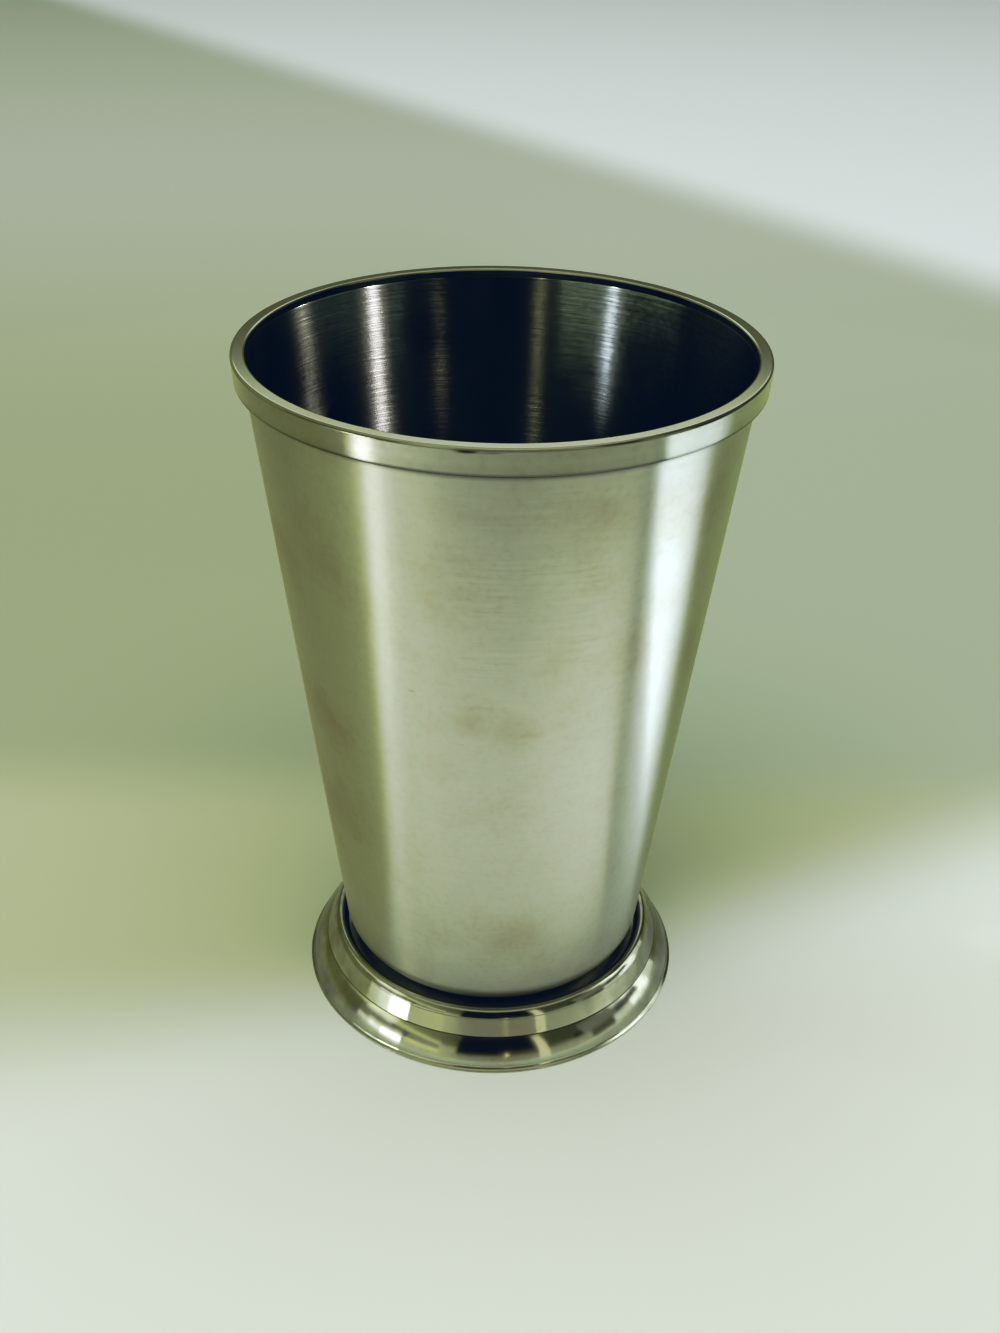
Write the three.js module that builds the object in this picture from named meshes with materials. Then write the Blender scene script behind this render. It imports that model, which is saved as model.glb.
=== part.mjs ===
// A footed stainless steel cup, as it comes apart on a bench: a drawn and tapered body, a band
// brazed round its mouth, and a spun foot in steps that is brazed under its bottom.
// Millimetres, +Z up. The origin is on the floor, at the middle of the foot.

import * as THREE from 'three';

// Driving dimensions
const CUP_HEIGHT = 115; // floor to the top of the rim

// Body
const BODY_SHEET = 0.75; // sheet of the wall and the bottom
const MOUTH_RADIUS = 38.2; // outside of the wall at its cut edge
const BASE_RADIUS = 25.68; // outside of the wall where its line meets the bottom
const CORNER_RADIUS = 5; // outside bend between wall and bottom

// Rim band, an inverted L in section whose lip covers the body's cut edge
const BAND_HEIGHT = 4.1; // top of the lip to the lower edge
const BAND_THICKNESS = 0.85; // below the lip
const LIP_THICKNESS = 1.2; // over the body's cut edge
const LIP_OUTER_ROUND = 0.45;
const LIP_INNER_ROUND = 0.35;
const FACE_LEAN = 4.5; // degrees that the band's face leans out

// Foot, from the floor up: hem, cove, dome, riser, bead, lip
const FOOT_SHEET = 0.6;
const HEM_EDGE = 0.3; // upright edge on the floor
const HEM_REACH = 0.39;
const HEM_RISE = 0.22;
const COVE_REACH = 0.24;
const COVE_RISE = 0.57;
const COVE_HOLLOW = 0.05; // depth of the hollow below its chord
const DOME_REACH = 2.56;
const DOME_RISE = 3.94;
const DOME_CROWN = 0.3; // height of the swelling above its chord
const RISER_REACH = 1.31;
const RISER_RISE = 2.81;
const NOSE_STEP = 0.15; // the bead overhangs the riser by this much
const BEAD_REACH = 1.36; // lip's middle to the bead's lower edge
const BEAD_RISE = 1.16;
const BEAD_CROWN = 0.05;
const LIP_BEND = 0.4; // inside bend of the lip, where the sheet turns down into the groove
const GROOVE_GAP = 0.62; // lip to the line of the body's wall
const GROOVE_DEPTH = 1.6; // top of the lip to the seat
const SEAT_BEND = 0.4; // bend between the lip's inner leg and the seat
const SEAT_REACH = 4; // how far the seat reaches in under the flat of the bottom

// Joints
const SEAT_CLEAR = 0.3; // between pieces that seat on each other
const FILLER_CLEAR = 0.15; // between filler and what it joins
const RIM_FILM = 0.3; // thickness of the filler behind the band
const RIM_FILM_HEIGHT = 1.8;
const RIM_FILM_INSET = 0.5; // the film stops this far above the band's lower edge
const FILLET_LEG = 0.8; // filler under the body's bottom

// Facets
const TURN_STEPS = 64;
const TOP_SIDE = 90; // degrees, for arcs
const UNDER_SIDE = -90;
const INNER_SIDE = 180;
const LIP_FACE_ANGLE = 50; // where the lip's bend runs out into the bead's face

const radians = THREE.MathUtils.degToRad;
const point = (radius, height) => new THREE.Vector2(radius, height);

// Points on an arc. An angle of 0 looks away from the axis, and 90 looks up.
function arc(centre, radius, from, to, steps) {
  return Array.from({ length: steps + 1 }, (_, i) => {
    const angle = radians(from + ((to - from) * i) / steps);
    return point(centre.x + radius * Math.cos(angle), centre.y + radius * Math.sin(angle));
  });
}

// Points on a shallow arc between two points. A positive crown swells to the right of the way
// from start to end, which is outwards where the line climbs, and a negative one is hollow.
function bow(start, end, crown, steps) {
  const chord = end.clone().sub(start);
  const side = point(chord.y, -chord.x).normalize();
  return Array.from({ length: steps + 1 }, (_, i) => {
    const share = i / steps;
    const height = crown * 4 * share * (1 - share);
    return start.clone().addScaledVector(chord, share).addScaledVector(side, height);
  });
}

// The other face of a sheet: the line moved to its left, with mitred corners.
function sheetBack(line, thickness) {
  const sides = line.slice(1).map((end, i) => {
    const along = end.clone().sub(line[i]).normalize();
    return point(-along.y, along.x);
  });
  return line.map((corner, i) => {
    const before = sides[Math.max(i - 1, 0)];
    const after = sides[Math.min(i, sides.length - 1)];
    const mitre = before.clone().add(after);
    return corner.clone().addScaledVector(mitre, (2 * thickness) / mitre.lengthSq());
  });
}

// A solid of revolution about Z. The section runs up its outer side and down its inner side.
function revolve(section) {
  return new THREE.LatheGeometry(section, TURN_STEPS).rotateX(Math.PI / 2);
}

function revolveRing(section) {
  return revolve([...section, section[0].clone()]);
}

// Heights and radii that follow from the driving dimensions
const domeFootHeight = HEM_EDGE + HEM_RISE + COVE_RISE;
const domeTopHeight = domeFootHeight + DOME_RISE;
const riserTopHeight = domeTopHeight + RISER_RISE;
const lipHeight = riserTopHeight + NOSE_STEP + BEAD_RISE;
const seatHeight = lipHeight - GROOVE_DEPTH;
const bodyBottom = seatHeight + SEAT_CLEAR;
const bodyTop = CUP_HEIGHT - LIP_THICKNESS - SEAT_CLEAR;

const wallSlope = (MOUTH_RADIUS - BASE_RADIUS) / (bodyTop - bodyBottom);
const wallLean = THREE.MathUtils.radToDeg(Math.atan(wallSlope));
const acrossWall = 1 / Math.cos(radians(wallLean)); // level length per length square to the wall
const wallRadius = (height) => BASE_RADIUS + wallSlope * (height - bodyBottom);
const cornerHeight = bodyBottom + CORNER_RADIUS;
const cornerCentre = point(wallRadius(cornerHeight) - CORNER_RADIUS * acrossWall, cornerHeight);

// The body: one sheet, drawn with a bend of even thickness at the bottom.
function cupBody() {
  const steps = 6;
  const insideTop = wallRadius(bodyTop) - BODY_SHEET * acrossWall;
  return revolve([
    point(0, bodyBottom),
    ...arc(cornerCentre, CORNER_RADIUS, UNDER_SIDE, -wallLean, steps),
    point(wallRadius(bodyTop), bodyTop),
    point(insideTop, bodyTop),
    ...arc(cornerCentre, CORNER_RADIUS - BODY_SHEET, -wallLean, UNDER_SIDE, steps),
    point(0, bodyBottom + BODY_SHEET),
  ]);
}

// The space between wall and band holds the filler and its clearance on both sides.
const bandGap = (RIM_FILM + 2 * FILLER_CLEAR) * acrossWall;
const bandInside = (height) => wallRadius(height) + bandGap;
const bandOutside = bandInside(bodyTop) + BAND_THICKNESS;
const bandLow = CUP_HEIGHT - BAND_HEIGHT;

// The rim band: a flat face that leans out a little less than the wall, and a lip that is flush with
// the wall inside.
function rimBand() {
  const lipInside = wallRadius(bodyTop) - BODY_SHEET * acrossWall;
  const lipUnder = bodyTop + SEAT_CLEAR;
  const outerRound = point(bandOutside - LIP_OUTER_ROUND, CUP_HEIGHT - LIP_OUTER_ROUND);
  const innerRound = point(lipInside + LIP_INNER_ROUND, CUP_HEIGHT - LIP_INNER_ROUND);
  const outerBend = arc(outerRound, LIP_OUTER_ROUND, -FACE_LEAN, TOP_SIDE, 3);
  const faceDrop = outerBend[0].y - bandLow;
  return revolveRing([
    point(bandInside(bandLow), bandLow),
    point(outerBend[0].x - faceDrop * Math.tan(radians(FACE_LEAN)), bandLow),
    ...outerBend,
    ...arc(innerRound, LIP_INNER_ROUND, TOP_SIDE, INNER_SIDE, 3),
    point(lipInside, lipUnder),
    point(bandInside(lipUnder), lipUnder),
  ]);
}

// The film of filler between the wall and the band
function rimBraze() {
  const low = bandLow + RIM_FILM_INSET;
  const high = low + RIM_FILM_HEIGHT;
  const near = (height) => wallRadius(height) + FILLER_CLEAR * acrossWall;
  const far = (height) => near(height) + RIM_FILM * acrossWall;
  return revolveRing([
    point(near(low), low),
    point(far(low), low),
    point(far(high), high),
    point(near(high), high),
  ]);
}

// Radii of the foot, from the groove round the body outwards
const legRadius = BASE_RADIUS + GROOVE_GAP;
const lipRound = LIP_BEND + FOOT_SHEET;
const lipCentre = point(legRadius + lipRound, lipHeight - lipRound);
const beadRadius = lipCentre.x + BEAD_REACH;
const riserTopRadius = beadRadius - NOSE_STEP;
const domeTopRadius = riserTopRadius + RISER_REACH;
const domeFootRadius = domeTopRadius + DOME_REACH;
const hemRadius = domeFootRadius + COVE_REACH;
const footRadius = hemRadius + HEM_REACH;
const seatBore = cornerCentre.x - SEAT_REACH;

// The shown face of the foot from the dome's foot up, over the lip and down to the seat's inner edge
function footFace(curveSteps, bendSteps) {
  const domeFoot = point(domeFootRadius, domeFootHeight);
  const domeTop = point(domeTopRadius, domeTopHeight);
  const riserTop = point(riserTopRadius, riserTopHeight);
  const nose = point(beadRadius, riserTopHeight + NOSE_STEP);
  const lip = arc(lipCentre, lipRound, LIP_FACE_ANGLE, INNER_SIDE, bendSteps);
  const seatBendCentre = point(legRadius - SEAT_BEND, seatHeight + SEAT_BEND);
  return {
    lower: [...bow(domeFoot, domeTop, DOME_CROWN, curveSteps), riserTop],
    upper: [
      ...bow(nose, lip[0], BEAD_CROWN, Math.ceil(curveSteps / 2)),
      ...lip.slice(1),
      ...arc(seatBendCentre, SEAT_BEND, 0, UNDER_SIDE, Math.ceil(bendSteps / 2) + 1),
      point(seatBore, seatHeight),
    ],
  };
}

// The foot: one spun sheet whose hem is folded under and pressed flat, so that it stands on a ring.
// The back of the sheet is smooth behind the small overhang of the bead.
function footRing() {
  const shown = footFace(5, 6);
  const plain = footFace(3, 4);
  const back = sheetBack([...plain.lower, ...plain.upper.slice(1)], FOOT_SHEET).reverse();
  const hem = point(hemRadius, HEM_EDGE + HEM_RISE);
  const cove = bow(hem, shown.lower[0], -COVE_HOLLOW, 3).slice(0, -1);
  return revolveRing([
    point(footRadius, 0),
    point(footRadius, HEM_EDGE),
    ...cove,
    ...shown.lower,
    ...shown.upper,
    ...back,
    point(back[back.length - 1].x, 0),
  ]);
}

// The fillet of filler in the corner between the seat's inner edge and the body's bottom
function footBraze() {
  const edge = seatBore - FILLER_CLEAR;
  const top = bodyBottom - FILLER_CLEAR;
  const hollowCentre = point(edge - FILLET_LEG, top - FILLET_LEG);
  return revolveRing([
    point(edge, top),
    ...arc(hollowCentre, FILLET_LEG, TOP_SIDE, 0, 3),
  ]);
}

const satinSteel = new THREE.MeshStandardMaterial({ color: 0xb3b5a6, roughness: 0.34, metalness: 1 });
const polishedSteel = new THREE.MeshStandardMaterial({ color: 0xbdbdb0, roughness: 0.07, metalness: 1 });
const brazeFiller = new THREE.MeshStandardMaterial({ color: 0xa8a08c, roughness: 0.5, metalness: 1 });

function piece(name, geometry, material) {
  const mesh = new THREE.Mesh(geometry, material);
  mesh.name = name;
  return mesh;
}

const cup = new THREE.Group();
cup.add(
  piece('cup_body', cupBody(), satinSteel),
  piece('rim_band', rimBand(), satinSteel),
  piece('rim_braze', rimBraze(), brazeFiller),
  piece('foot_ring', footRing(), polishedSteel),
  piece('foot_braze', footBraze(), brazeFiller),
);

export default cup;
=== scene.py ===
# %% [markdown]
# # A footed stainless steel cup
# This lesson dresses a small drinking cup of sheet steel: a tapered body, a band round the mouth and
# a polished foot that was spun in steps. Every piece is a turned shape, so every mesh here is one
# profile that is carried round the cup's axis, and the finish does the rest of the work. Steel has
# hardly any colour of its own: what the eye sees is the room, smeared by the way it was brushed.

# %% Frame and units
import bpy
import numpy as np
from mathutils import Matrix, Vector


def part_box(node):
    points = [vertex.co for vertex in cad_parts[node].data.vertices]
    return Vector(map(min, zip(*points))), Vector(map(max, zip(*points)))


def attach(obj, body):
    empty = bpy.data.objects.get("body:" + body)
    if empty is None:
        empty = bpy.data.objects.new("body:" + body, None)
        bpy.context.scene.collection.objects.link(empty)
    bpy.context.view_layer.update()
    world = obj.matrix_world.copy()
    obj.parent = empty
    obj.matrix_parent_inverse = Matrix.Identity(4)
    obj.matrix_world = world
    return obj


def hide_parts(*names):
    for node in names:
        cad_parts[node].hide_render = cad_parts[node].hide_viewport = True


MM = 0.001
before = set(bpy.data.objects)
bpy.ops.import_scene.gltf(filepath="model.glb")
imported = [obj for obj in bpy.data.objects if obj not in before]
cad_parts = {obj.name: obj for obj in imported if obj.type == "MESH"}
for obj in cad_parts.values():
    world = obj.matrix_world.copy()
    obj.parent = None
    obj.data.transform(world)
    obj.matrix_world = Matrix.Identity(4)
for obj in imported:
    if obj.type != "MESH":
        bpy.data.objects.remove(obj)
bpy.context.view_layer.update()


def reach(node):
    """The greatest radius, lowest and highest point of a round CAD node, in millimetres."""
    low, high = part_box(node)
    return high.x / MM, low.z / MM, high.z / MM


body_radius, body_low, body_high = reach("cup_body")
band_radius, band_low, band_high = reach("rim_band")
foot_radius, foot_low, foot_high = reach("foot_ring")
print("body", body_radius, body_low, body_high)
print("band", band_radius, band_low, band_high)
print("foot", foot_radius, foot_low, foot_high)

# %% [markdown]
# ## Three small helpers
# Colours are written as the hex values that a paint program shows. Blender's shaders work with linear
# light, so one function undoes the sRGB curve. The second function adds any node to a node tree with
# its settings, and links or fills its sockets, so that a material below reads from top to bottom. The
# third starts an empty material.


# %% Colours and nodes
def linear(hex_colour):
    """sRGB hex to linear light: ((c + 0.055) / 1.055) to the power 2.4, or c / 12.92 when dark."""
    channels = np.array([int(hex_colour[i:i + 2], 16) for i in (1, 3, 5)]) / 255
    bright = ((channels + 0.055) / 1.055) ** 2.4
    return (*np.where(channels > 0.04045, bright, channels / 12.92), 1.0)


def add_node(tree, kind, sockets=None, **settings):
    """Adds a node, sets its properties, then links or fills each named or numbered socket."""
    node = tree.nodes.new(kind)
    for name, value in settings.items():
        setattr(node, name, value)
    for name, value in (sockets or {}).items():
        if isinstance(value, bpy.types.NodeSocket):
            tree.links.new(value, node.inputs[name])
        else:
            node.inputs[name].default_value = value
    return node


def new_material(name):
    """An empty material, as its node tree and its output node."""
    material = bpy.data.materials.new(name)
    material.use_nodes = True
    material.node_tree.nodes.clear()
    output = add_node(material.node_tree, "ShaderNodeOutputMaterial")
    return material, material.node_tree, output


print("steel grey in linear light:", [round(float(c), 3) for c in linear("#c4c4bd")])

# %% [markdown]
# ## The camera
# The cup is seen from a little above, close by and slightly tilted, as when one bends over a table.
# The place and the angles were worked out from the ellipses of the rim and the foot. The lens follows
# from the focal length in pixels, because the long side of the picture always takes up the sensor's
# full 36 mm.

# %% Camera
PICTURE_HEIGHT = 1333
FOCAL_PIXELS = 1520
EYE_AWAY = 215.9
EYE_HEIGHT = 189.3
EYE_TURN = np.radians(0.17)
EYE_DIP = np.radians(31.0)
EYE_ROLL = np.radians(-1.2)
NEAREST_SEEN = 10

camera_data = bpy.data.cameras.new("eye")
camera_data.lens = FOCAL_PIXELS * camera_data.sensor_width / PICTURE_HEIGHT
camera = bpy.data.objects.new("eye", camera_data)
bpy.context.scene.collection.objects.link(camera)
ahead = Vector(
    (
        np.sin(EYE_TURN) * np.cos(EYE_DIP),
        np.cos(EYE_TURN) * np.cos(EYE_DIP),
        -np.sin(EYE_DIP),
    )
)
level = Vector((np.cos(EYE_TURN), -np.sin(EYE_TURN), 0))
down = ahead.cross(level)
right = np.cos(EYE_ROLL) * level + np.sin(EYE_ROLL) * down
up = np.sin(EYE_ROLL) * level - np.cos(EYE_ROLL) * down
turn = Matrix((right, up, -ahead)).transposed()
camera.matrix_world = Matrix.Translation((0, -EYE_AWAY * MM, EYE_HEIGHT * MM)) @ turn.to_4x4()
camera_data.clip_start = NEAREST_SEEN * MM
bpy.context.scene.camera = camera
print("lens", round(camera_data.lens, 2), "mm")

# %% [markdown]
# ## The floor
# A pale painted floor that runs far out, so that it fills the picture. The wall of the cup leans out and so
# mirrors the floor all the way up, and the floor's tone is half of the cup's look. One colour is laid over
# another in washes, each of which takes over along a direction, as with a wide brush. The washes are
# painted light and shade: painted shade behind the cup and to its left, painted light in front of it,
# further back and far off to the right, and painted shade out of the picture, behind the viewer.

# %% Floor
FLOOR_HALF = 4.0
# Painted light and shade on the floor: the first colour is the painted shade behind the cup, and each wash
# lays on painted shade or painted light.
FLOOR_PAINTED_SHADE = "#a9b3a6"
FLOOR_PAINTED_LIGHT_AND_SHADE = (
    ((-1.0, 0.0, 0.0), (-0.06, 0.06), "#a0a896"),
    ((0.0, 1.0, 0.0), (0.08, 0.7), "#b6beb5"),
    ((0.8, 0.6, 0.0), (0.38, 0.46), "#e1ebec"),
    ((0.0, -1.0, 0.0), (-0.07, -0.03), "#b1b9a2"),
    ((0.42, -0.9, 0.0), (-0.012, 0.035), "#dde6e1"),
    ((0.21, -0.98, 0.0), (-0.015, 0.04), "#d6ddd5"),
    ((0.5, -0.87, 0.0), (0.12, 0.23), "#8f947c"),
)


def washes(tree, position, first, tones):
    """A colour, then washes over it: each one's share goes smoothly from 0 to 1 along its direction."""
    colour = linear(first)
    for direction, (start, end), tone in tones:
        along = add_node(tree, "ShaderNodeVectorMath", {0: position, 1: direction}, operation="DOT_PRODUCT")
        share = add_node(
            tree,
            "ShaderNodeMapRange",
            {"Value": along.outputs["Value"], "From Min": start, "From Max": end},
            interpolation_type="SMOOTHERSTEP",
        )
        mix = add_node(
            tree,
            "ShaderNodeMix",
            {"Factor": share.outputs["Result"], "A": colour, "B": linear(tone)},
            data_type="RGBA",
        )
        colour = mix.outputs["Result"]
    return colour


def floor_paint_and_painted_light():
    """Matt emulsion paint, rolled on: it scatters light evenly and hardly shines."""
    material, tree, output = new_material("matt_sage_paint_and_painted_light")
    position = add_node(tree, "ShaderNodeTexCoord").outputs["Object"]
    # The floor's colour carries painted light and shade.
    paint = washes(tree, position, FLOOR_PAINTED_SHADE, FLOOR_PAINTED_LIGHT_AND_SHADE)
    shader = add_node(
        tree,
        "ShaderNodeBsdfPrincipled",
        {"Base Color": paint, "Roughness": 0.75, "Specular IOR Level": 0.2},
    )
    tree.links.new(shader.outputs["BSDF"], output.inputs["Surface"])
    return material


def flat_card(name, corners, material):
    """One face with its corners in metres, which is part of the stage and not of the cup."""
    mesh = bpy.data.meshes.new(name)
    mesh.from_pydata(corners, [], [range(len(corners))])
    mesh.materials.append(material)
    sheet = bpy.data.objects.new(name, mesh)
    bpy.context.scene.collection.objects.link(sheet)
    return sheet


floor_corners = [(x * FLOOR_HALF, y * FLOOR_HALF, 0) for x, y in ((-1, -1), (1, -1), (1, 1), (-1, 1))]
floor = flat_card("floor", floor_corners, floor_paint_and_painted_light())
print("floor", 2 * FLOOR_HALF, "m square with", len(FLOOR_PAINTED_LIGHT_AND_SHADE), "washes")

# %% [markdown]
# ## The light
# Polished steel shows each light as a bright patch, so every patch on the rim and the foot stands for
# one light beside the cup. The lights are soft panels round the table. Each is given by the part of
# the room that it fills, seen from the cup: a range of azimuth from the camera's side (to the right is
# positive) and a range of elevation. Every panel shines on a few pieces only: two light the floor and
# stay out of reflections, and the others are mirrored by the rim, by the foot or by both. So each can
# be set by itself, and the renderer spends no rays on a light that a piece doesn't need.

# %% Light panels
EYE_LEVEL = 60 * MM


def place_round(azimuth, distance, height):
    """A point round the cup: azimuth in degrees from the camera's side, distance and height in metres."""
    angle = np.radians(azimuth)
    return Vector((distance * np.sin(angle), -distance * np.cos(angle), height))


def soft_panel(name, place, aim, size, colour, brightness):
    """A rectangular area light whose face is so many times as bright as white paper, unseen by the eye."""
    data = bpy.data.lights.new(name, "AREA")
    data.shape = "RECTANGLE"
    data.size, data.size_y = size
    data.color = linear(colour)[:3]
    data.energy = brightness * np.pi * size[0] * size[1]
    panel = bpy.data.objects.new(name, data)
    bpy.context.scene.collection.objects.link(panel)
    look = (aim - place).to_track_quat("-Z", "Y")
    panel.matrix_world = Matrix.Translation(place) @ look.to_matrix().to_4x4()
    panel.visible_camera = False
    return panel


def upright(azimuths, elevations, distance):
    """Place, aim and size of an upright panel that fills these ranges in degrees, seen from the cup."""
    low, high = EYE_LEVEL + distance * np.tan(np.radians(elevations))
    width = 2 * distance * np.tan(np.radians(azimuths[1] - azimuths[0]) / 2)
    place = place_round(np.mean(azimuths), distance, (low + high) / 2)
    return place, Vector((0, 0, place.z)), (width, high - low)


def shine_only_on(panels, name):
    """Limits these panels to the pieces of a new collection, which is filled when the pieces exist."""
    reached = bpy.data.collections.new(name)
    for panel in panels:
        panel.light_linking.receiver_collection = reached
    return reached


print("panels hang round a point", EYE_LEVEL, "m over the floor")

# %% Light for the floor
FLOOR_LIGHTS = {
    "floor_key": ((-0.4, -0.7, 1.2), 1.6, 1.1),
    "floor_fill": ((0, 0, 2), 3, 1.85),
}
floor_lights = []
for name, (place, side, brightness) in FLOOR_LIGHTS.items():
    panel = soft_panel(name, Vector(place), Vector((0, 0, 0)), (side, side), "#ffffff", brightness)
    panel.visible_glossy = False
    floor_lights.append(panel)
shine_only_on(floor_lights, "lit_floor").objects.link(floor)
print("floor lights:", [panel.name for panel in floor_lights])

# %% Light for the rim and the foot
BACK_PANELS = {
    "back_wall_low": ((150, 210), (22.9, 24.4), 0.9, "#c8ceb4", 0.65),
    "back_wall_top": ((150, 210), (24.4, 50), 0.9, "#dde3e6", 1.0),
}
RIM_PANELS = {
    "rim_front": ((-40, 40), (8, 62), 0.5, "#d2d6c0", 0.4),
    "rim_window": ((-60, -50), (-18, -4), 0.16, "#e8f0fc", 1.6),
}
FOOT_PANELS = {
    "foot_window": ((-73, -58), (3, 17), 0.68, "#ecf2f8", 0.2),
    "foot_window_top": ((-80, -60), (17, 36), 0.68, "#e6ecf4", 0.65),
    "foot_window_low": ((-72, -57), (-28.3, -22), 0.11, "#e8f0f8", 1.0),
    "foot_room_left": ((-120, -28), (6, 34), 0.85, "#a0a488", 1.5),
    "foot_room_right": ((50, 100), (8, 19), 0.85, "#6f7358", 0.9),
    "foot_window_side": ((-58, -50), (3, 17), 0.68, "#eef0e8", 0.45),
    "foot_window_left": ((-82, -73), (3, 17), 0.68, "#eef0e8", 0.4),
    "right_window_near": ((76, 90), (-3, 50), 0.9, "#e4eef0", 1.0),
    "right_window": ((90, 108), (-3, 50), 0.9, "#e4eef0", 2.3),
    "right_window_far": ((108, 122), (-3, 40), 0.9, "#e4eef0", 1.2),
    "door_gap": ((28, 34), (-4, 42), 0.8, "#f6f4e0", 0.85),
    "front_low": ((-18, 28), (-3, 5), 0.58, "#d2cebc", 0.6),
    "front_low_left": ((-48, -18), (-3, 20), 0.7, "#d8d8c8", 0.5),
    "front_low_right": ((34, 60), (-3, 10), 0.7, "#d4d8c8", 0.6),
    "small_lamp": ((8.5, 11.5), (5.5, 8), 0.55, "#fff0d0", 3),
}


def hang_panels(panels):
    """Hangs each panel in its range of azimuth and elevation, for reflections alone."""
    hung = []
    for name, (azimuths, elevations, distance, colour, brightness) in panels.items():
        panel = soft_panel(name, *upright(azimuths, elevations, distance), colour, brightness)
        panel.visible_diffuse = False
        hung.append(panel)
    return hung


lit_rim_and_foot = shine_only_on(hang_panels(BACK_PANELS), "lit_rim_and_foot")
lit_rim = shine_only_on(hang_panels(RIM_PANELS), "lit_rim")
lit_foot = shine_only_on(hang_panels(FOOT_PANELS), "lit_foot")

# %% [markdown]
# ## Cards
# In a photo studio, white and black card is put beside polished metal, so that it has something to
# mirror. The wall leans out, so it mirrors what lies on the floor: pale cards draw its two wide streaks.
# Olive cards at the sides, lying and standing, give the wall and the foot their darker edges. A low
# bright card at the left takes the place of a window. The black cards stand behind the camera, with a dim
# one to their right, and the foot mirrors them as a dark block. The two haze cards stand far off and
# shine on the body alone: their light comes in low over the rim and leaves a dim green haze on the upper
# part of the inside.


# %% Cards
def glowing(name, colour, strength, tones=()):
    """A card that gives off light, one colour or washes of colours; only reflections find it."""
    material, tree, output = new_material(name)
    position = add_node(tree, "ShaderNodeTexCoord").outputs["Object"]
    glow = add_node(
        tree, "ShaderNodeEmission", {"Color": washes(tree, position, colour, tones), "Strength": strength}
    )
    tree.links.new(glow.outputs["Emission"], output.inputs["Surface"])
    material.cycles.emission_sampling = "NONE"
    return material


def standing_card(name, azimuths, elevations, distance, material):
    """An upright card between two azimuths and two elevations in degrees, seen from the cup."""
    low, high = EYE_LEVEL + distance * np.tan(np.radians(elevations))
    sides = ((azimuths[0], low), (azimuths[1], low), (azimuths[1], high), (azimuths[0], high))
    corners = [place_round(azimuth, distance, height) for azimuth, height in sides]
    return flat_card(name, corners, material)


def lying_card(name, corners, height, material):
    """A card just over the floor, its corners given as azimuth in degrees and distance in metres."""
    places = [place_round(azimuth, distance, height) for azimuth, distance in corners]
    return flat_card(name, places, material)


CARD_LIFT = 1 * MM
UPPER_CARD_LIFT = 1.5 * MM
FRONT_TONES = (
    ((-0.84, -0.54, 0.0), (0.07, 0.19), "#eef4f6"),
    ((0.56, -0.83, 0.0), (0.004, 0.036), "#bac0ba"),
    ((0.0, 1.0, 0.0), (-0.075, -0.04), "#a3a9a0"),
    ((1.0, 0.0, 0.0), (0.0, 0.07), "#c9d0c9"),
    ((0.2, -0.98, 0.0), (0.12, 0.2), "#84877b"),
)
front_card = glowing("front_card", "#b4bab2", 1.95, FRONT_TONES)
bright_card = glowing("bright_card", "#e2f0fa", 3.5)
soft_card = glowing("soft_card", "#e6f0f2", 1.1)
window_card = glowing("window_card", "#f4f8fa", 7.0)
window_edge_card = glowing("window_edge_card", "#f0f4f4", 1.3)
left_olive = glowing("left_olive_card", "#b2b78f", 1.0, [((-1.0, 0.0, 0.0), (0.19, 0.25), "#9ca17c")])
foot_olive = glowing("foot_olive_card", "#8b906c", 1.0)
right_olive = glowing("right_olive_card", "#b0ba90", 1.0)
black_card = glowing("black_card", "#0a0b14", 1.0)
dim_card = glowing("dim_card", "#979c8e", 1.0)
haze_card = glowing("haze_card", "#c8d4b0", 4.2)
weak_haze_card = glowing("weak_haze_card", "#b4ccb4", 2.2)
front_corners = (
    (-57, 0.055),
    (-59, 0.12),
    (-59, 0.69),
    (-50, 0.69),
    (-40, 0.42),
    (0, 0.3),
    (66, 0.2),
    (66, 0.06),
    (30, 0.045),
    (-30, 0.045),
)
right_corners = ((93, 0.086), (69, 0.218), (103.5, 0.222))
right_far_corners = ((69, 0.218), (66, 0.36), (105, 0.345), (103.5, 0.222))
left_side_corners = (
    (-60, 0.037),
    (-60, 0.4),
    (-90, 0.4),
    (-130, 0.4),
    (-170, 0.4),
    (-170, 0.037),
    (-130, 0.037),
    (-90, 0.037),
)
right_side_corners = ((107, 0.037), (107, 0.4), (140, 0.4), (170, 0.4), (170, 0.037), (140, 0.037))
cards = [
    lying_card("front_floor_card", front_corners, CARD_LIFT, front_card),
    lying_card("right_floor_card", right_corners, UPPER_CARD_LIFT, bright_card),
    lying_card("right_far_card", right_far_corners, UPPER_CARD_LIFT, soft_card),
    lying_card("left_side_card", left_side_corners, CARD_LIFT, left_olive),
    lying_card("right_side_card", right_side_corners, CARD_LIFT, right_olive),
    standing_card("left_window", (-63, -50), (-4, 2.5), 0.7, window_card),
    standing_card("left_window_edge", (-71, -63), (-4, 2.5), 0.7, window_edge_card),
    standing_card("left_room", (-165, -72), (-6.8, 10), 0.5, foot_olive),
    standing_card("right_room", (118, 178), (-3.9, 8), 0.8, foot_olive),
    standing_card("viewer_left", (-18, 6), (5, 50), 0.6, black_card),
    standing_card("viewer_right", (6, 26), (14, 50), 0.6, black_card),
    standing_card("dark_things", (56, 80), (8, 30), 0.6, dim_card),
]
haze_cards = [
    standing_card("haze_left", (-95, -28), (8, 19), 0.9, haze_card),
    standing_card("haze_right", (50, 100), (8, 19), 0.9, weak_haze_card),
]
lit_by_haze = shine_only_on(haze_cards, "lit_by_haze")
cards += haze_cards
for card in cards:
    card.visible_camera = card.visible_diffuse = card.visible_shadow = False
print("cards:", [card.name for card in cards])

# %% [markdown]
# ## The room
# Whatever no panel or card fills is the room itself: dim and olive, lighter to the left and overhead.
# Only reflections see it, because the floor has its own light.

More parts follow.
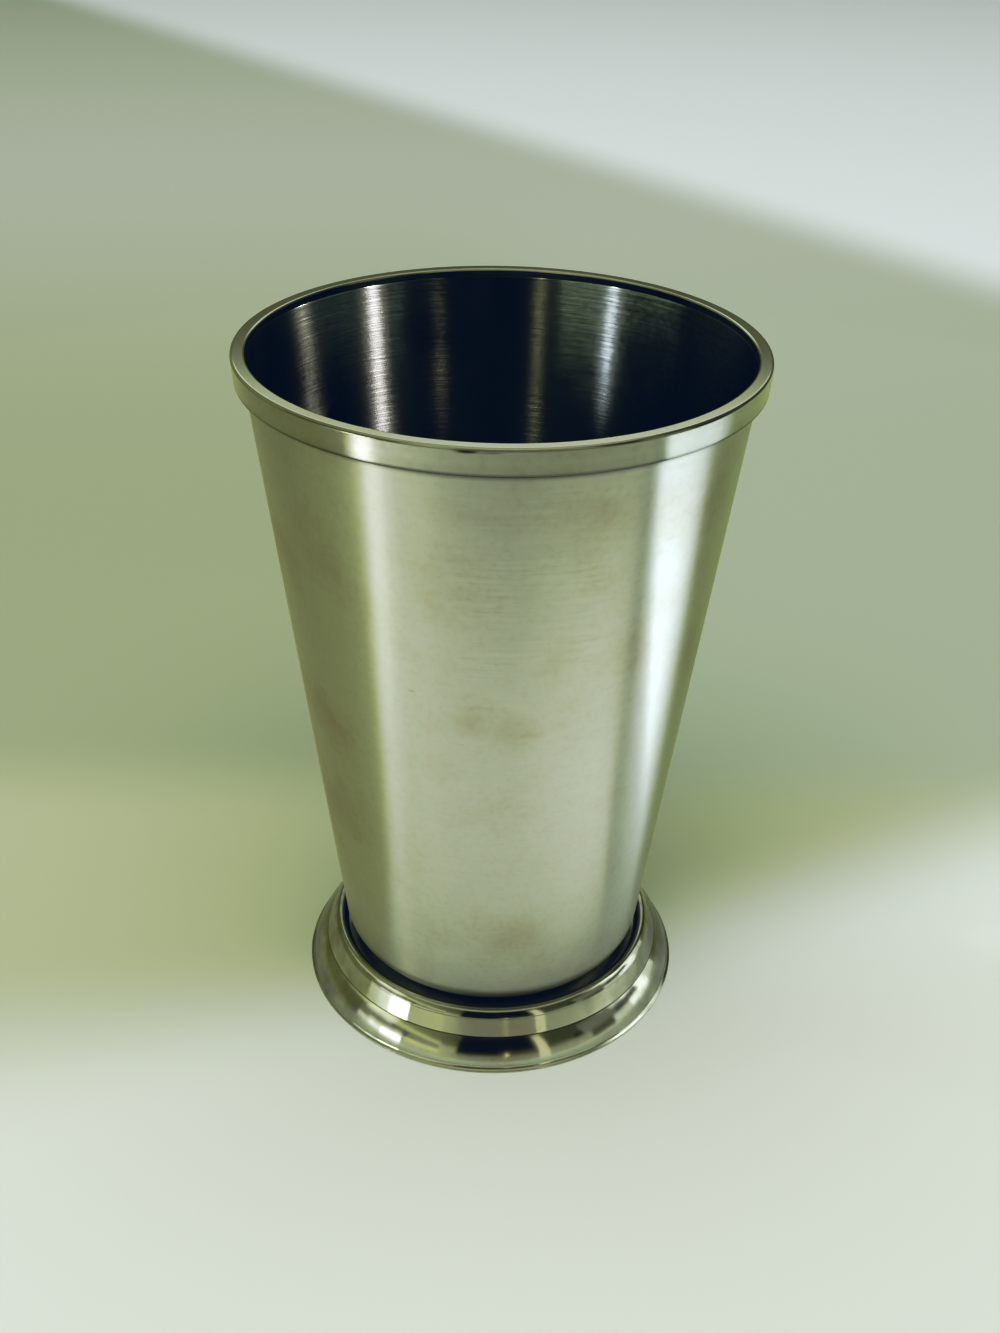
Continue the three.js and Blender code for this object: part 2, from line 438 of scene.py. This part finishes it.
# %% Room
ROOM_DARK = "#5f6349"
ROOM_TONES = (
    ((-1.0, 0.0, 0.0), (0.1, 0.6), "#989d7a"),
    ((0.0, 0.0, 1.0), (0.75, 0.9), "#c3c6b0"),
)
world = bpy.data.worlds.new("room")
bpy.context.scene.world = world
world.use_nodes = True
room = world.node_tree
room.nodes.clear()
room_output = add_node(room, "ShaderNodeOutputWorld")
direction = add_node(room, "ShaderNodeTexCoord").outputs["Generated"]
room_colour = washes(room, direction, ROOM_DARK, ROOM_TONES)
background = add_node(room, "ShaderNodeBackground", {"Color": room_colour, "Strength": 1.0})
room.links.new(background.outputs["Background"], room_output.inputs["Surface"])
world.cycles_visibility.diffuse = False
world.cycles.sampling_method = "NONE"
print("room with", len(ROOM_TONES), "washes")

# %% [markdown]
# ## The picture's tone
# A camera's picture has its own tone curve. Here the deepest shadows are a little blue and the dark
# tones are pressed down, as in a photograph with strong contrast, and the light ones stay as they are.

# %% Tone
TONE_POINTS = {
    "red": ((0.0, 0.001), (0.03, 0.016), (0.12, 0.11)),
    "green": ((0.0, 0.006), (0.03, 0.02), (0.12, 0.112)),
    "blue": ((0.0, 0.02), (0.03, 0.026), (0.12, 0.102)),
    "all": ((0.0, 0.0), (0.1, 0.062), (0.23, 0.16), (0.42, 0.42)),
}
view = bpy.context.scene.view_settings
view.view_transform = "Standard"
view.use_curve_mapping = True
tone = view.curve_mapping
for curve, points in zip(tone.curves, TONE_POINTS.values()):
    curve.points[0].location = points[0]
    for place in points[1:]:
        curve.points.new(*place)
tone.update()
TRIED_TONES = (0.05, 0.15, 0.3, 0.6, 0.9)
shown_tones = [round(tone.evaluate(tone.curves[3], tried), 3) for tried in TRIED_TONES]
print("tones", TRIED_TONES, "are shown as", shown_tones)

# %% [markdown]
# ## Turned shapes
# Each piece is a profile in the plane of radius and height, carried once round the axis. A profile is
# put together from arcs, shallow bows and straight runs. Smooth shading blends the normals of
# neighbouring faces, so a straight run gets an extra point close to each of its ends: the blend then
# stays in that narrow strip, and the run reflects as a true cone.


# %% Profiles
def arc(centre, radius, start, end, steps):
    """Points round a centre: radius times (cosine, sine) of even angles; 0 looks out and 90 looks up."""
    angles = np.radians(np.linspace(start, end, steps + 1))
    return np.asarray(centre) + radius * np.column_stack([np.cos(angles), np.sin(angles)])


def bow(start, end, crown, steps):
    """A chord plus a parabola, crown * 4 s (1 - s), that swells to the right of the way along it."""
    share = np.linspace(0, 1, steps + 1)[:, None]
    start, end = np.asarray(start, float), np.asarray(end, float)
    chord = end - start
    side = np.array([chord[1], -chord[0]]) / np.hypot(*chord)
    return start + share * chord + crown * 4 * share * (1 - share) * side


def soften(before, corner, after, length, steps=5):
    """A corner rounded by a quadratic curve that leaves its two sides a length away from the corner."""
    before, corner, after = (np.asarray(p, float) for p in (before, corner, after))
    start = corner + length * (before - corner) / np.hypot(*(before - corner))
    end = corner + length * (after - corner) / np.hypot(*(after - corner))
    share = np.linspace(0, 1, steps + 1)[:, None]
    return (1 - share) ** 2 * start + 2 * share * (1 - share) * corner + share ** 2 * end


def refine(line, longest, edges=(0.05,)):
    """The same line with points near both ends of each long run, and none further apart than longest."""
    length = np.concatenate([[0], np.cumsum(np.hypot(*np.diff(line, axis=0).T))])
    long_run = np.diff(length) > 3 * max(edges)
    starts, stops = length[:-1][long_run], length[1:][long_run]
    ends = np.concatenate([place for edge in edges for place in (starts + edge, stops - edge)])
    even = np.linspace(0, length[-1], int(length[-1] / longest) + 2)
    gap = np.abs(even[:, None] - np.concatenate([length, ends])[None, :]).min(axis=1)
    knots = np.sort(np.concatenate([length, ends, even[gap > max(edges)]]))
    return np.column_stack([np.interp(knots, length, line[:, i]) for i in (0, 1)])


quarter = arc((0, 0), 10, 0, 90, 20)
quarter_length = np.hypot(*np.diff(quarter, axis=0).T).sum()
print("a quarter round of radius 10 mm is", round(float(quarter_length), 2), "mm long")

# %% Carrying a profile round
TURNS = 360
SAME_POINT = 1e-4
AXIS_RADIUS = 1e-6


def revolve(name, runs, materials, seams, seam_width):
    """Each point (r, z) of a closed profile goes round the axis: x = r sin a, y = -r cos a, z = z.

    The runs follow each other up the outer side and down the inner side, one material for each run.
    Points on the axis become one vertex. A point attribute is 1 on a seam's point of the profile and falls
    off with the distance d from it as exp(-(d / width) squared); it carries painted shade along seams and
    creases, with some dirt at the band.
    """
    line = np.concatenate(runs)
    kind = np.concatenate([np.full(len(run), i) for i, run in enumerate(runs)])
    keep = np.concatenate([[True], np.hypot(*np.diff(line, axis=0).T) > SAME_POINT])
    line, kind = line[keep], kind[keep]
    from_seam = np.linalg.norm(line[:, None, :] - np.asarray(seams)[None, :, :], axis=2).min(axis=1)
    seam_dirt_and_shade = np.exp(-((from_seam / seam_width) ** 2))
    on_axis = line[:, 0] < AXIS_RADIUS
    size = np.where(on_axis, 1, TURNS)
    first = np.concatenate([[0], np.cumsum(size)[:-1]])
    angle = np.arange(TURNS) * 2 * np.pi / TURNS
    ring = np.stack(
        [
            line[:, :1] * np.sin(angle),
            -line[:, :1] * np.cos(angle),
            np.repeat(line[:, 1:], TURNS, axis=1),
        ],
        axis=2,
    )
    used = ~on_axis[:, None] | (np.arange(TURNS) == 0)
    index = first[:, None] + np.where(on_axis[:, None], 0, np.arange(TURNS))
    ahead_index = np.roll(index, -1, axis=1)
    closed = not on_axis.any()
    low = np.arange(len(line) if closed else len(line) - 1)
    high = (low + 1) % len(line)
    quads = np.stack([index[low], ahead_index[low], ahead_index[high], index[high]], axis=2).reshape(-1, 4)
    quad_kind = np.repeat(kind[low], TURNS)
    keep_corner = quads != np.roll(quads, 1, axis=1)
    sides = keep_corner.sum(axis=1)
    mesh = bpy.data.meshes.new(name)
    vertices = ring[used] * MM
    mesh.vertices.add(len(vertices))
    mesh.vertices.foreach_set("co", vertices.astype(np.float32).ravel())
    corners = quads[keep_corner]
    mesh.loops.add(len(corners))
    mesh.loops.foreach_set("vertex_index", corners.astype(np.int32))
    mesh.polygons.add(len(quads))
    starts = np.concatenate([[0], np.cumsum(sides)[:-1]])
    mesh.polygons.foreach_set("loop_start", starts.astype(np.int32))
    mesh.polygons.foreach_set("material_index", quad_kind.astype(np.int32))
    mesh.polygons.foreach_set("use_smooth", np.ones(len(quads), bool))
    mesh.update(calc_edges=True)
    attribute = mesh.attributes.new("seam_dirt_and_shade", "FLOAT", "POINT")
    attribute.data.foreach_set("value", np.repeat(seam_dirt_and_shade, size).astype(np.float32))
    for material in materials:
        mesh.materials.append(material)
    mesh.validate()
    piece = bpy.data.objects.new(name, mesh)
    bpy.context.scene.collection.objects.link(piece)
    print(name, len(line), "profile points,", len(quads), "faces")
    return piece


print("each ring has", TURNS, "points")

# %% [markdown]
# ## Brushed steel
# The body was polished on a lathe with a fine abrasive belt, so its scratches run round it. Such a surface
# is smooth along the scratches and rough across them, and a reflection keeps its edges in the one direction
# and is smeared in the other. In the shader that is a high anisotropy with the tangent running round the
# axis, turned by a quarter so that the smear goes up and down. Handling leaves soft patches of a second
# tint, and a dark colour marks a few spots of dirt. The same dark colour is laid on as painted shade along
# the seams and creases, with some dirt at the band, and on the foot's two sides.

# %% Steel
PATCH_SIZE = 16
SPECKLE_SIZE = 1.0
LINE_SHARE = 0.3
SPECKLE_SHARE = 0.25
MARK_EDGE_SIZE = 6
MARK_EDGE_DEPTH = 1.6
MARK_ENDS, MARK_IS_FULL = 1.9, 0.8
# A dark brown for a few spots of dirt, laid on also as painted shade along seams and creases and on the
# foot's sides.
DIRT_AND_SHADE_COLOUR = "#2a2814"


def brush_lines(tree, spacing, length):
    """Noise whose cells are a scratch's spacing high and a scratch's length long, both in mm."""
    position = add_node(tree, "ShaderNodeTexCoord").outputs["Object"]
    round_scale = 1 / (length * MM)
    stretched = add_node(
        tree,
        "ShaderNodeVectorMath",
        {0: position, 1: (round_scale, round_scale, 1 / (spacing * MM))},
        operation="MULTIPLY",
    )
    noise = add_node(
        tree,
        "ShaderNodeTexNoise",
        {"Vector": stretched.outputs["Vector"], "Scale": 1.0, "Detail": 3.0, "Roughness": 0.6},
    )
    return noise.outputs["Fac"]


def blotches(tree, size, low, high):
    """Soft patches of a size in mm: noise between two levels, stretched to 0..1."""
    position = add_node(tree, "ShaderNodeTexCoord").outputs["Object"]
    noise = add_node(
        tree, "ShaderNodeTexNoise", {"Vector": position, "Scale": 1 / (size * MM), "Detail": 4.0}
    )
    patch = add_node(
        tree,
        "ShaderNodeMapRange",
        {"Value": noise.outputs["Fac"], "From Min": low, "From Max": high},
        interpolation_type="SMOOTHSTEP",
    )
    return patch.outputs["Result"]


def marks_on(tree, share, marks):
    """The share, raised to each mark's strength at its place; marks have uneven edges and fade outwards.

    A mark is an azimuth in degrees, a radius and a height in mm, its half width and half height in mm
    and its strength.
    """
    position = add_node(tree, "ShaderNodeTexCoord").outputs["Object"]
    noise = add_node(
        tree, "ShaderNodeTexNoise", {"Vector": position, "Scale": 1 / (MARK_EDGE_SIZE * MM), "Detail": 3.0}
    )
    for azimuth, radius, height, half_width, half_height, strength in marks:
        place = place_round(azimuth, radius * MM, height * MM)
        away = add_node(tree, "ShaderNodeVectorMath", {0: position, 1: place}, operation="SUBTRACT")
        shrink = (1 / (half_width * MM), 1 / (half_width * MM), 1 / (half_height * MM))
        scaled = add_node(
            tree, "ShaderNodeVectorMath", {0: away.outputs["Vector"], 1: shrink}, operation="MULTIPLY"
        )
        distance = add_node(tree, "ShaderNodeVectorMath", {0: scaled.outputs["Vector"]}, operation="LENGTH")
        uneven = add_node(
            tree,
            "ShaderNodeMath",
            {0: noise.outputs["Fac"], 1: MARK_EDGE_DEPTH, 2: distance.outputs["Value"]},
            operation="MULTIPLY_ADD",
        )
        mark = add_node(
            tree,
            "ShaderNodeMapRange",
            {
                "Value": uneven.outputs["Value"],
                "From Min": MARK_ENDS,
                "From Max": MARK_IS_FULL,
                "To Max": strength,
            },
            interpolation_type="SMOOTHSTEP",
        )
        share = add_node(
            tree, "ShaderNodeMath", {0: share, 1: mark.outputs["Result"]}, operation="MAXIMUM"
        ).outputs["Value"]
    return share


def steel(name, clean, handled, roughness, smear, scratch, marks=(), dirt_and_shade=()):
    """Brushed stainless steel: clean and handled tints, roughness range, smear, scratch sizes and marks.

    A scratch is its spacing, length and depth in mm. Marks show the handled tint. Dark marks and the seams'
    attribute mix in a dark colour: dirt in a few spots, and painted shade in seams, creases and on the
    foot's sides.
    """
    material, tree, output = new_material(name)
    spacing, length, depth = scratch
    lines = brush_lines(tree, spacing, length)
    patches = blotches(tree, PATCH_SIZE, 0.45, 0.85)
    worn = marks_on(tree, patches, marks)
    streaky = add_node(tree, "ShaderNodeMath", {0: lines, 1: LINE_SHARE, 2: worn}, operation="MULTIPLY_ADD")
    speckled = add_node(
        tree,
        "ShaderNodeMath",
        {0: blotches(tree, SPECKLE_SIZE, 0.4, 0.8), 1: SPECKLE_SHARE, 2: streaky.outputs["Value"]},
        operation="MULTIPLY_ADD",
    )
    tint = add_node(
        tree,
        "ShaderNodeMix",
        {"Factor": speckled.outputs["Value"], "A": linear(clean), "B": linear(handled)},
        data_type="RGBA",
    )
    # The seams' attribute: painted shade along seams and creases, with some dirt at the band.
    seam_dirt_and_shade = add_node(tree, "ShaderNodeAttribute", attribute_name="seam_dirt_and_shade").outputs["Fac"]
    dirtied_and_shaded = add_node(
        tree,
        "ShaderNodeMix",
        {"Factor": marks_on(tree, seam_dirt_and_shade, dirt_and_shade), "A": tint.outputs["Result"], "B": linear(DIRT_AND_SHADE_COLOUR)},
        data_type="RGBA",
    )
    gloss = add_node(
        tree, "ShaderNodeMapRange", {"Value": lines, "To Min": roughness[0], "To Max": roughness[1]}
    )
    bump = add_node(tree, "ShaderNodeBump", {"Height": lines, "Strength": 1.0, "Distance": depth * MM})
    around = add_node(tree, "ShaderNodeTangent", direction_type="RADIAL", axis="Z")
    shader = add_node(
        tree,
        "ShaderNodeBsdfPrincipled",
        {
            "Base Color": dirtied_and_shaded.outputs["Result"],
            "Metallic": 1.0,
            "Roughness": gloss.outputs["Result"],
            "Anisotropic": smear,
            "Anisotropic Rotation": 0.25,
            "Tangent": around.outputs["Tangent"],
            "Normal": bump.outputs["Normal"],
        },
    )
    tree.links.new(shader.outputs["BSDF"], output.inputs["Surface"])
    return material


WALL_MARKS = (
    (6, 34, 68, 5, 4, 0.5),
    (15, 35, 80, 4, 6, 0.3),
    (20, 36, 100, 6, 3, 0.25),
    (-4, 36, 104, 8, 4, 0.3),
    (-14, 33, 60, 4, 9, 0.25),
)
WALL_DIRT = (
    (-21, 34, 74, 0.9, 0.3, 0.5),
    (1, 27.5, 19, 0.45, 0.5, 0.7),
)
RIM_DIRT = (
    (-6, 39.5, 114.45, 1.9, 0.3, 0.9),
    (-2, 39.5, 114.4, 2.0, 0.2, 0.4),
)
# Painted shade: broad dark patches on the foot's two sides.
FOOT_SIDE_SHADE = (
    (-100, 31, 5, 32, 12, 0.6),
    (98, 31, 5, 28, 12, 0.55),
)
# The scratches of a fine belt lie about 0.03 mm apart, too fine to show, so they are drawn 0.3 to
# 0.5 mm apart.
# The wall: a soft grey sheen with long upright streaks, ground round the axis with a fine belt.
satin_outside = steel(
    "satin_stainless_outside",
    "#c4c6c0",
    "#b6b1a4",
    (0.26, 0.34),
    0.95,
    (0.3, 8, 0.006),
    WALL_MARKS,
    WALL_DIRT,
)
# The inside: nearly black with thin bright streaks, brushed round with a pad and never buffed. Its tints
# are painted much darker than the outside's, as painted shade for the deep inside. Its rings are drawn
# deeper than they are, so that they show as fine rows in the streaks.
inside_with_painted_shade = steel("stainless_inside_with_painted_shade", "#9096a0", "#505458", (0.21, 0.25), 1.0, (0.5, 14, 0.05))
# The band's face: a little shinier than the wall, brushed on the lathe with a worn belt.
rim_satin = steel(
    "satin_stainless_rim", "#c2c5bd", "#b2ae9e", (0.19, 0.25), 0.9, (0.3, 20, 0.002), (), RIM_DIRT
)
# The lip: one clear, light line, buffed smooth because it touches the mouth.
lip_mirror = steel("polished_stainless_lip", "#c6c8bf", "#bab8aa", (0.12, 0.16), 0.6, (0.3, 20, 0.001))
# The foot: sharp reflections, buffed with a soft wheel. Its two sides are darkened with painted shade.
foot_mirror = steel(
    "polished_stainless_foot", "#c6c8bf", "#bab8aa", (0.12, 0.16), 0.9, (0.4, 40, 0.001), (), FOOT_SIDE_SHADE
)
# The foot's underside: dull grey with coarse rings, left as the spinning tool made it.
foot_inside = steel("spun_stainless_underside", "#a9a89c", "#8f8c7e", (0.35, 0.45), 0.8, (0.5, 20, 0.006))
print("steels:", [m.name for m in bpy.data.materials if "stainless" in m.name])

# %% [markdown]
# ## The body
# One sheet, drawn to a taper with a rounded corner at its flat bottom. Its outside and its inside are two
# runs of the same closed profile, so each can have its own finish. Points lie close together near the band,
# because the painted shadow under it has to fade within a millimetre.

# %% Body
BODY_SHEET = 0.75
BASE_RADIUS = 25.68
CORNER_RADIUS = 5.0
LIP_THICKNESS = 1.2
HAIR = 0.04
CUT_EDGE_ROUND = 0.1
SEAM_BELOW, SEAM_ABOVE = 1.5, 1.0
SEAM_POINTS = 11
# A painted shadow on the wall just under the band: its drop below the band and its width, in mm.
WALL_SHADOW_DROP = 0.25
WALL_SHADOW_WIDTH = 0.55
WALL_STEP = 4
WALL_EDGES = (0.2,)

wall_slope = (body_radius - BASE_RADIUS) / (body_high - body_low)
wall_lean = np.degrees(np.arctan(wall_slope))
across_wall = 1 / np.cos(np.radians(wall_lean))
lip_under = band_high - LIP_THICKNESS


def wall_radius(height):
    """Outside radius of the straight wall at a height in mm."""
    return BASE_RADIUS + wall_slope * (height - body_low)


corner_height = body_low + CORNER_RADIUS
corner_centre = (wall_radius(corner_height) - CORNER_RADIUS * across_wall, corner_height)
wall_top = lip_under - HAIR
top_outside = (wall_radius(wall_top), wall_top)
top_inside = (wall_radius(wall_top) - BODY_SHEET * across_wall, wall_top)
outside_corner = arc(corner_centre, CORNER_RADIUS, -90, -wall_lean, 20)
inside_corner = arc(corner_centre, CORNER_RADIUS - BODY_SHEET, -wall_lean, -90, 20)
seam_heights = np.linspace(band_low - SEAM_BELOW, band_low + SEAM_ABOVE, SEAM_POINTS)
near_seam = np.column_stack([wall_radius(seam_heights), seam_heights])
outside = np.concatenate(
    [
        [(0, body_low)],
        outside_corner,
        near_seam,
        soften(near_seam[-1], top_outside, top_inside, CUT_EDGE_ROUND),
    ]
)
inside = np.concatenate(
    [
        soften(top_outside, top_inside, inside_corner[0], CUT_EDGE_ROUND),
        inside_corner,
        [(0, body_low + BODY_SHEET)],
    ]
)
band_shadow_height = band_low - WALL_SHADOW_DROP
body = revolve(
    "tapered_body",
    [refine(outside, WALL_STEP, WALL_EDGES), refine(inside, WALL_STEP, WALL_EDGES)],
    [satin_outside, inside_with_painted_shade],
    [(wall_radius(band_shadow_height), band_shadow_height)],
    WALL_SHADOW_WIDTH,
)
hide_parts("cup_body")
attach(body, "root")
print("wall leans", round(wall_lean, 2), "degrees")

# %% [markdown]
# ## Lamps for the inside
# The inside is dark, because light has to bounce several times between its walls and because its steel is
# given a darker tint as painted shade, but thin bright streaks run down it. Seen from above, a streak shows
# where the wall's normal halves the angle between the eye and a lamp, so that mirror rule gives each lamp's
# place. Each lamp throws a narrow beam that just clears the rim on its way in, so the outside of the wall
# stays free of it. The haze cards, too, are now told to shine on the body alone.

# %% Inside lamps
LAMP_AWAY = 0.54
LAMP_CLIMB = np.tan(np.radians(26))
LAMP_WIDTH = 4
LAMP_SPREAD = np.radians(2)
INSIDE_STREAKS = {
    "warm_lamp": (-36.2, 99, 36, "#fff2e4", 2.1),
    "warm_lamp_far": (-60.5, 101, 32, "#fff4dc", 1.7),
    "cool_lamp": (30.2, 105, 16, "#f2f4f4", 1.5),
    "dim_lamp_right": (9.8, 99, 36, "#f8f0c0", 0.2),
    "dim_lamp_left": (-17.6, 103, 26, "#ffeccc", 0.16),
}


def streak_lamp(name, azimuth, level, height, colour, brightness):
    """A strip of light that the inside mirrors at an azimuth from the back: m = 2 (e . n) n - e.

    The level is that of the streak's middle on the wall, and the height is the strip's own, in mm.
    """
    angle = np.radians(azimuth)
    inward = -np.array([np.sin(angle), np.cos(angle)])
    spot = -(wall_radius(level) - BODY_SHEET * across_wall) * MM * inward
    to_eye = np.array([0, -EYE_AWAY * MM]) - spot
    to_eye /= np.hypot(*to_eye)
    mirrored = 2 * (to_eye @ inward) * inward - to_eye
    aim = Vector((*spot, level * MM))
    place = aim + LAMP_AWAY * Vector((*mirrored, LAMP_CLIMB))
    panel = soft_panel(name, place, aim, (LAMP_WIDTH * MM, height * MM), colour, brightness)
    panel.data.spread = LAMP_SPREAD
    panel.visible_diffuse = False
    return panel


inside_lamps = [streak_lamp(name, *streak) for name, streak in INSIDE_STREAKS.items()]
shine_only_on(inside_lamps, "lit_inside").objects.link(body)
lit_by_haze.objects.link(body)
print("inside lamps:", [[round(v / MM) for v in lamp.location] for lamp in inside_lamps])

# %% [markdown]
# ## The rim band
# A strip with an inverted L section: its lip lies over the sheet's cut edge, and its flat face leans
# out a little less than the wall, so that a dark line stays open under it. A small toe closes the lower
# edge below the filler. The face is brushed, the lip is buffed, and the narrow inner side is finished
# with the inside of the cup, so the profile has a run for each.

# %% Rim band
LIP_OUTER_ROUND = 0.45
LIP_INNER_ROUND = 0.35
FACE_LEAN = 4.5
EDGE_ROUND = 0.3
BAND_GAP = 0.6
TOE_HEIGHT = 0.35
TOE_ROUND = 0.06
LIP_CORNER_ROUND = 0.08
# Dirt and painted shade along the band's lower edge: the width of the dark line, in mm.
RIM_SEAM_DIRT_AND_SHADE_WIDTH = 0.4
RIM_STEP = 2
RIM_EDGES = (0.05, 0.15, 0.3)

outer_centre = (band_radius - LIP_OUTER_ROUND, band_high - LIP_OUTER_ROUND)
lip_outer = arc(outer_centre, LIP_OUTER_ROUND, -FACE_LEAN, 90, 12)
face_height = lip_outer[0, 1] - band_low
face_low = (lip_outer[0, 0] - face_height * np.tan(np.radians(FACE_LEAN)), band_low)
lip_inside = top_inside[0]
lip_inner = arc((lip_inside + LIP_INNER_ROUND, band_high - LIP_INNER_ROUND), LIP_INNER_ROUND, 90, 180, 10)
toe_low = (wall_radius(band_low) + HAIR, band_low)
toe_high = (wall_radius(band_low + TOE_HEIGHT) + HAIR, band_low + TOE_HEIGHT)
gap_low = (wall_radius(band_low + TOE_HEIGHT) + BAND_GAP, band_low + TOE_HEIGHT)
gap_high = (wall_radius(lip_under) + BAND_GAP, lip_under)
band_face = np.concatenate(
    [
        soften(toe_high, toe_low, face_low, TOE_ROUND),
        soften(toe_low, face_low, lip_outer[0], EDGE_ROUND, 8),
        lip_outer[:2],
    ]
)
band_lip = np.concatenate([lip_outer[1:], lip_inner])
lip_face = np.concatenate(
    [
        lip_inner[-1:],
        soften(lip_inner[-1], (lip_inside, lip_under), gap_high, LIP_CORNER_ROUND),
    ]
)
hidden_band = np.array([gap_high, gap_low, toe_high])
rim_runs = [
    refine(band_face, RIM_STEP, RIM_EDGES),
    refine(band_lip, RIM_STEP, RIM_EDGES),
    refine(lip_face, RIM_STEP),
    refine(hidden_band, RIM_STEP),
]
rim_steels = [rim_satin, lip_mirror, inside_with_painted_shade, rim_satin]
rim = revolve("rim_band_ring", rim_runs, rim_steels, [face_low], RIM_SEAM_DIRT_AND_SHADE_WIDTH)
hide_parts("rim_band")
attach(rim, "root")
lit_rim.objects.link(rim)
lit_rim_and_foot.objects.link(rim)
print("band from", round(band_low, 2), "to", round(band_high, 2), "mm")

# %% [markdown]
# ## The foot
# The foot is one spun sheet. From the floor up it has a pressed hem, a hollow cove, a domed step, a riser
# and a bead, and its lip turns down into a groove round the body. The two creases are sharp to the eye, but
# a tool with a small nose made them, so each gets a tiny round and a thin line of painted shade.

# %% Foot
FOOT_SHEET = 0.6
HEM_EDGE = 0.3
HEM_REACH = 0.39
HEM_RISE = 0.22
COVE_REACH = 0.24
COVE_RISE = 0.57
COVE_HOLLOW = 0.05
DOME_REACH = 2.56
DOME_RISE = 3.94
DOME_CROWN = 0.3
RISER_REACH = 1.31
RISER_RISE = 2.81
NOSE_STEP = 0.15
BEAD_REACH = 1.36
BEAD_CROWN = 0.05
LIP_ROUND = 1.0
LIP_FACE_ANGLE = 50
GROOVE_DEPTH = 1.6
SEAT_BEND = 0.4
SEAT_REACH = 4.0
FLOOR_ROUND = 0.06
HEM_ROUND = 0.08
COVE_ROUND = 0.1
SHOULDER_ROUND = 0.07
CREASE_ROUND = 0.06
NOSE_ROUND = 0.05
# Painted shade along the two creases: the width of the dark line, in mm.
FOOT_CREASE_SHADE_WIDTH = 0.07
FOOT_STEP = 2
FOOT_EDGES = (0.05, 0.12, 0.22)
# From each crease of the shown side to the same crease on the sheet's hidden side.
RISER_BACK = (-0.57, -0.25)
DOME_BACK = (-0.52, -0.2)
COVE_BACK = (-0.5, -0.2)
LEG_BACK = (0.5, -0.4)

hem = np.array([foot_radius - HEM_REACH, HEM_EDGE + HEM_RISE])
dome_foot = hem + (-COVE_REACH, COVE_RISE)
dome_top = dome_foot + (-DOME_REACH, DOME_RISE)
riser_top = dome_top + (-RISER_REACH, RISER_RISE)
nose = riser_top + (NOSE_STEP, NOSE_STEP)
lip_centre = np.array([nose[0] - BEAD_REACH, foot_high - LIP_ROUND])
leg_radius = lip_centre[0] - LIP_ROUND
seat_height = foot_high - GROOVE_DEPTH
seat_bore = corner_centre[0] - SEAT_REACH
floor_edge = np.array([foot_radius, 0.0])
hem_edge = np.array([foot_radius, HEM_EDGE])

cove = bow(hem, dome_foot, -COVE_HOLLOW, 12)
dome = bow(dome_foot, dome_top, DOME_CROWN, 32)
lip_bend = arc(lip_centre, LIP_ROUND, LIP_FACE_ANGLE, 180, 30)
bead = bow(nose, lip_bend[0], BEAD_CROWN, 20)
seat_bend = arc((leg_radius - SEAT_BEND, seat_height + SEAT_BEND), SEAT_BEND, 0, -90, 12)
shown_foot = np.concatenate(
    [
        soften((0, 0), floor_edge, hem_edge, FLOOR_ROUND),
        soften(floor_edge, hem_edge, hem, HEM_ROUND),
        soften(hem_edge, hem, cove[1], COVE_ROUND),
        cove[2:-1],
        soften(cove[-2], dome_foot, dome[1], COVE_ROUND),
        dome[2:-1],
        soften(dome[-2], dome_top, riser_top, SHOULDER_ROUND),
        soften(dome_top, riser_top, nose, CREASE_ROUND),
        soften(riser_top, nose, bead[1], NOSE_ROUND),
        bead[2:],
        lip_bend[1:],
        seat_bend,
        [(seat_bore, seat_height)],
    ]
)
cove_back = dome_foot + COVE_BACK
hidden_foot = np.array(
    [
        (seat_bore, seat_height - FOOT_SHEET),
        (leg_radius, seat_height - FOOT_SHEET),
        np.add((leg_radius, seat_height), LEG_BACK),
        riser_top + RISER_BACK,
        dome_top + DOME_BACK,
        cove_back,
        (cove_back[0], 0.0),
    ]
)
foot = revolve(
    "spun_foot",
    [refine(shown_foot, FOOT_STEP, FOOT_EDGES), refine(hidden_foot, FOOT_STEP)],
    [foot_mirror, foot_inside],
    [dome_top, riser_top],
    FOOT_CREASE_SHADE_WIDTH,
)
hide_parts("foot_ring")
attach(foot, "root")
lit_foot.objects.link(foot)
lit_rim_and_foot.objects.link(foot)
print("foot", round(foot_radius, 2), "mm in radius and", round(foot_high, 2), "mm high")

# %% [markdown]
# ## The filler
# The film behind the band and the fillet under the bottom are brazing filler: a duller, warmer metal
# that was left as it flowed. The solids already have the right shape, so only their finish changes.

# %% Filler
# The filler: dull, warm grey without any brushing, left as it flowed and cooled.
filler = steel("braze_filler", "#a8a08c", "#8d8570", (0.45, 0.6), 0.0, (0.8, 2, 0.02))
FILLER_NODES = ("rim_braze", "foot_braze")
for node in FILLER_NODES:
    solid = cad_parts[node]
    solid.data.materials.clear()
    solid.data.materials.append(filler)
print("filler on", FILLER_NODES)
